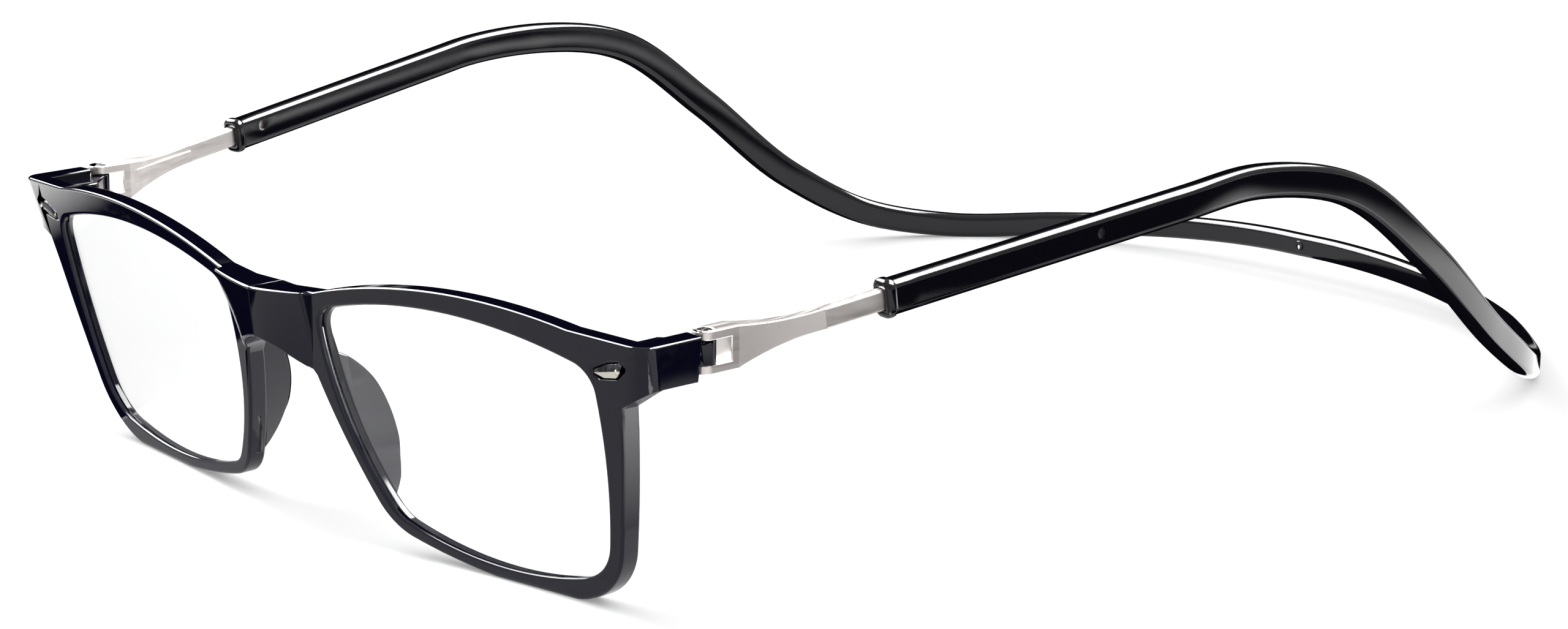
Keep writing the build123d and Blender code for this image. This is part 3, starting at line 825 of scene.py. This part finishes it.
def boxMesh(name, size, centre, turn):
    mesh = bpy.data.meshes.new(name)
    work = bmesh.new()
    bmesh.ops.create_cube(work, size=1.0)
    bmesh.ops.scale(work, vec=Vector(size) * mm, verts=work.verts)
    work.to_mesh(mesh)
    work.free()
    box = newPiece(name, mesh)
    box.rotation_euler = (0, 0, math.radians(turn))
    box.location = centre
    return box


def makeScrews(values):
    for side, sign in sides.items():
        x, y, z = values["place"]
        place = Vector((x, y - middleY, z)) * mm
        profile = values["profile"] + [(values["shank"], values["foot"] - z)]
        name = side + "_screw_slotted"
        piece = newPiece(name, lathe(name, profile, values["steps"], sign, place))
        width, length, depth = values["slot"]
        centre = Vector((place.x * sign, place.y, place.z))
        for turn in (0, 90):
            cutter = boxMesh("cutter", (width, length, 2 * depth), centre, values["turn"] * sign + turn)
            cut = piece.modifiers.new("slot", "BOOLEAN")
            cut.operation = "DIFFERENCE"
            cut.solver = "EXACT"
            cut.object = cutter
            bpy.context.view_layer.update()
            mesh = bpy.data.meshes.new_from_object(
                piece.evaluated_get(bpy.context.evaluated_depsgraph_get())
            )
            piece.modifiers.clear()
            piece.data = mesh
            bpy.data.objects.remove(cutter)
        piece.data.shade_smooth()
        piece.data.set_sharp_from_angle(angle=math.radians(values["sharp"]))
        dress(piece, "screwSteel")
        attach(piece, side + "_bar")
        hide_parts(side + "_hinge_screw")


makeScrews(screwValues)

gateValues = {
    "place": (0.0, 221.5, 6.0),
    "profile": [(0.0, 0.10), (0.55, 0.10), (0.62, 0.16), (0.85, 0.16), (0.95, 0.08), (1.0, -0.2)],
    "steps": 32,
}


def makeGateMark(values):
    x, y, z = values["place"]
    rings = []
    for radius, rise in values["profile"]:
        ring = []
        for i in range(values["steps"]):
            angle = 2 * math.pi * i / values["steps"]
            across = max(radius, leastRadius) * math.cos(angle)
            ring.append(Vector((x + across, y - middleY - rise, z + radius * math.sin(angle))) * mm)
        rings.append(ring)
    piece = newPiece("neck_gate_mark", meshOfRings("neck_gate_mark", rings, 1))
    dress(piece, "bandBlack")
    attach(piece, "band")


makeGateMark(gateValues)

plaqueValues = {
    "start": 61.4, "length": 5.5, "height": 2.8, "clearance": 0.04,
    "foot": 34.0,
    "shares": [                 # corners of the outline, in shares of length and height
        (0.0, 0.15), (0.0, 0.42), (0.49, 0.86), (0.86, 1.0),
        (1.0, 0.75), (0.97, 0.50), (0.76, 0.14), (0.30, 0.0),
    ],
    "front": (-1.1, -0.118, 70.9, 0.230, 39.4, 0.3),    # base, wrap, width, lean, top and bow
    "sink": 0.12, "edge": 0.16, "inset": 0.16, "ridge": 0.30, "depth": 0.55,
    "ridgeShares": [(0.10, 0.30), (0.90, 0.62)],
    # Faces that take the dark copy of the plaque metal as painted shade
    "paintedShadeFaces": range(1, 19),  # the border and the upper facets
    "rivet": (0.80, 0.55, 0.42, 0.22),      # share of length and height, radius, rise
    "rivetShares": (1.0, 0.92, 0.7, 0.4, 0.08),
    "rivetSteps": 20,
}


def frontFace(x, z, values):
    # Depth of the rim's front face, as in the CAD model
    base, wrap, width, lean, top, bow = values
    half = width / 2
    return base + wrap * (width - x) + lean * (top - z) - bow * (1 - ((x - half) / half) ** 2)


def makePlaques(values):
    length = values["length"] - 2 * values["clearance"]
    height = values["height"] - 2 * values["clearance"]
    left, foot = values["start"] + values["clearance"], values["foot"] + values["clearance"]
    centre = Vector((0.5, 0.5))

    def corner(share, inset, sink):
        pull = Vector(share).lerp(centre, inset)
        x, z = left + pull.x * length, foot + pull.y * height
        return (x, frontFace(x, z, values["front"]) + sink - middleY, z)

    outline = values["shares"]
    count = len(outline)
    rows = [
        (0.0, values["depth"]),
        (0.0, values["sink"] + values["edge"]),
        (values["inset"], values["sink"]),
    ]
    points = [corner(share, inset, sink) for inset, sink in rows for share in outline]
    ridge = [corner(share, 0, values["sink"] - values["ridge"]) for share in values["ridgeShares"]]
    points += ridge
    tip, tail = 3 * count, 3 * count + 1
    faces = [tuple(range(count))]
    for row in range(2):
        for i in range(count):
            j = (i + 1) % count
            faces.append((row * count + i, row * count + j, (row + 1) * count + j, (row + 1) * count + i))
    top = 2 * count
    # Facets between the border and the ridge, the two upper ones first
    faces.append((top + 1, top + 2, top + 3, tail, tip))
    faces.append((top + 3, top + 4, tail))
    faces.append((top + 4, top + 5, tail))
    faces.append((top + 5, top + 6, top + 7, tip, tail))
    faces.append((top + 7, top, tip))
    faces.append((top, top + 1, tip))
    for side, sign in sides.items():
        mesh = bpy.data.meshes.new(side + "_plaque_faceted")
        mesh.from_pydata([Vector((x * sign, y, z)) * mm for x, y, z in points], [], faces)
        work = bmesh.new()
        work.from_mesh(mesh)
        bmesh.ops.recalc_face_normals(work, faces=work.faces)
        work.to_mesh(mesh)
        work.free()
        piece = newPiece(side + "_plaque_faceted", mesh)
        dress(piece, "plaqueMetal")
        # The border and the upper facets get the dark copy of the metal as painted shade
        mesh.materials.append(looks["plaquePaintedShade"])
        for i in values["paintedShadeFaces"]:
            mesh.polygons[i].material_index = 1
        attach(piece, side + "_front")
        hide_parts(side + "_plaque")
        makeRivet(values, corner, side, sign)


def makeRivet(values, corner, side, sign):
    across, up, radius, rise = values["rivet"]
    x, y, z = corner((across, up), 0, values["sink"] - values["ridge"] / 2)
    rings = []
    for share in values["rivetShares"]:
        reach = rise * math.sqrt(1 - share * share)
        ring = []
        for i in range(values["rivetSteps"]):
            angle = 2 * math.pi * i / values["rivetSteps"]
            spot = (x + radius * share * math.cos(angle), y - reach, z + radius * share * math.sin(angle))
            ring.append(Vector(spot) * mm)
        rings.append(ring)
    piece = newPiece(side + "_plaque_rivet", meshOfRings(side + "_plaque_rivet", rings, sign))
    dress(piece, "plaqueMetal")
    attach(piece, side + "_front")


makePlaques(plaqueValues)

for node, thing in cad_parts.items():
    if "lens" in node:
        dress(thing, "lensClear")
        thing.visible_shadow = False
    elif "magnet" in node:
        dress(thing, "magnetPlating")
    elif "slide_pin" in node:
        dress(thing, "pinDark")
print("metal details made")


# Floor, cards that paint light and shade into reflections, lamps and world

floorValues = {"size": 6.0, "colour": (0.90, 0.90, 0.90), "glow": 0.25}


def rectangle(name, halfWidth, halfHeight):
    mesh = bpy.data.meshes.new(name)
    corners = [(x * halfWidth, y * halfHeight, 0) for x, y in ((-1, -1), (1, -1), (1, 1), (-1, 1))]
    mesh.from_pydata(corners, [], [(0, 1, 2, 3)])
    return mesh


def makeFloor(values):
    material, tree, shader = newMaterial("floorWhite")
    shader.inputs["Base Color"].default_value = (*values["colour"], 1)
    shader.inputs["Roughness"].default_value = 1.0
    shader.inputs["Specular IOR Level"].default_value = 0.0
    shader.inputs["Emission Color"].default_value = (1, 1, 1, 1)
    path = addNode(tree, "ShaderNodeLightPath", (-900, -200))
    rays = calculate(tree, "ADD", (-700, -200), path.outputs["Is Camera Ray"], path.outputs["Is Glossy Ray"])
    rays = calculate(tree, "ADD", (-500, -200), rays, path.outputs["Is Transmission Ray"], True)
    glow = calculate(tree, "MULTIPLY", (-300, -200), rays, values["glow"])
    tree.links.new(glow, shader.inputs["Emission Strength"])
    half = values["size"] / 2
    mesh = rectangle("floor", half, half)
    mesh.materials.append(material)
    newPiece("floor", mesh)


makeFloor(floorValues)

lampValues = {
    "keyLamp": {"place": (-0.75, -0.26, 0.75), "size": (0.8, 0.6), "energy": 3.2},
    "backLamp": {"place": (0.1, 0.95, 0.9), "size": (1.1, 0.6), "energy": 3.2},
    "topLamp": {"place": (0.05, 0.0, 1.1), "size": (1.4, 1.4), "energy": 2.0},
}


def makeLamps(values):
    for name, lamp in values.items():
        data = bpy.data.lights.new(name, "AREA")
        data.shape = "RECTANGLE"
        data.size, data.size_y = lamp["size"]
        data.energy = lamp["energy"]
        thing = bpy.data.objects.new(name, data)
        thing.location = lamp["place"]
        thing.rotation_euler = (-Vector(lamp["place"])).to_track_quat("-Z", "Y").to_euler()
        collection.objects.link(thing)


makeLamps(lampValues)

# A fade runs along the card's X, from the full light to none
cardValues = {
    # Black and grey cards seen only in reflections: painted shade on the glossy parts, which would otherwise
    # reflect the white floor or world there
    "darkBehind": {"place": (-0.75, 0.65, 0.42), "size": (1.6, 0.9), "aim": (0, 0, 0.42), "light": 0.0},
    "darkLeft": {"place": (-0.30, 0.16, 0.0006), "size": (0.45, 0.40), "light": 0.0},
    "darkRight": {"place": (0.365, 0.2025, 0.0006), "size": (0.42, 0.395), "light": 0.0},
    "darkEnd": {"place": (0.14, -0.035, 0.0008), "size": (0.056, 0.07), "light": 0.0},
    "darkInside": {"place": (0.05, 0.06, 0.0006), "size": (0.10, 0.18), "light": 0.0},
    "greyFront": {"place": (0.0275, -0.18, 0.0006), "size": (0.175, 0.16), "light": 0.65},
    # Glowing cards seen only in reflections, which light nothing: painted highlights on edges and tops, and
    # painted bright reflections on chosen faces
    "edgeLight": {"place": (-0.62, -0.22, 0.62), "size": (0.9, 0.75), "aim": (0, 0, 0), "light": 26.0},
    "armLight": {"place": (0.35, 0.66, 0.90), "size": (1.1, 0.7), "aim": (0, 0, 0), "light": 30.0},
    "brightLeft": {"place": (-0.165, -0.15, 0.001), "size": (0.21, 0.14), "light": 4.0, "fade": (0.0, 0.03)},
    "brightSide": {
        "place": (0.0903, -0.09, 0.0008), "size": (0.0395, 0.05), "light": 5.0, "fade": (0.012, -0.026),
    },
    "paleRight": {"place": (0.135, 0.14, 0.0008), "size": (0.13, 0.12), "light": 3.0, "fade": (0.01, 0.06)},
}


def makeCards(values):
    for name, card in values.items():
        material, tree, shader = newMaterial(name)
        shader.inputs["Base Color"].default_value = (0, 0, 0, 1)
        shader.inputs["Specular IOR Level"].default_value = 0.0
        shader.inputs["Emission Color"].default_value = (1, 1, 1, 1)
        shader.inputs["Emission Strength"].default_value = card["light"]
        width, height = card["size"]
        mesh = rectangle(name, width / 2, height / 2)
        mesh.materials.append(material)
        thing = newPiece(name, mesh)
        thing.location = card["place"]
        if "aim" in card:
            facing = Vector(card["aim"]) - Vector(card["place"])
            thing.rotation_euler = facing.to_track_quat("Z", "Y").to_euler()
        if "fade" in card:
            place = addNode(tree, "ShaderNodeTexCoord", (-900, -200)).outputs["Object"]
            split = addNode(tree, "ShaderNodeSeparateXYZ", (-700, -200))
            tree.links.new(place, split.inputs[0])
            level = remap(tree, (-400, -200), split.outputs["X"], *card["fade"], card["light"], 0)
            tree.links.new(level, shader.inputs["Emission Strength"])
        # The cards show only in reflections, where they paint light or shade onto the glossy parts
        thing.visible_camera = False
        thing.visible_diffuse = False
        thing.visible_shadow = False
        thing.visible_transmission = False


makeCards(cardValues)

worldValues = {"strength": 0.6}


def makeWorld(values):
    world = bpy.data.worlds.new("softWhite")
    bpy.context.scene.world = world
    world.use_nodes = True
    background = world.node_tree.nodes["Background"]
    background.inputs["Color"].default_value = (1, 1, 1, 1)
    background.inputs["Strength"].default_value = values["strength"]


makeWorld(worldValues)
bpy.context.scene.view_settings.view_transform = "Standard"
print("floor, lamps and world set")
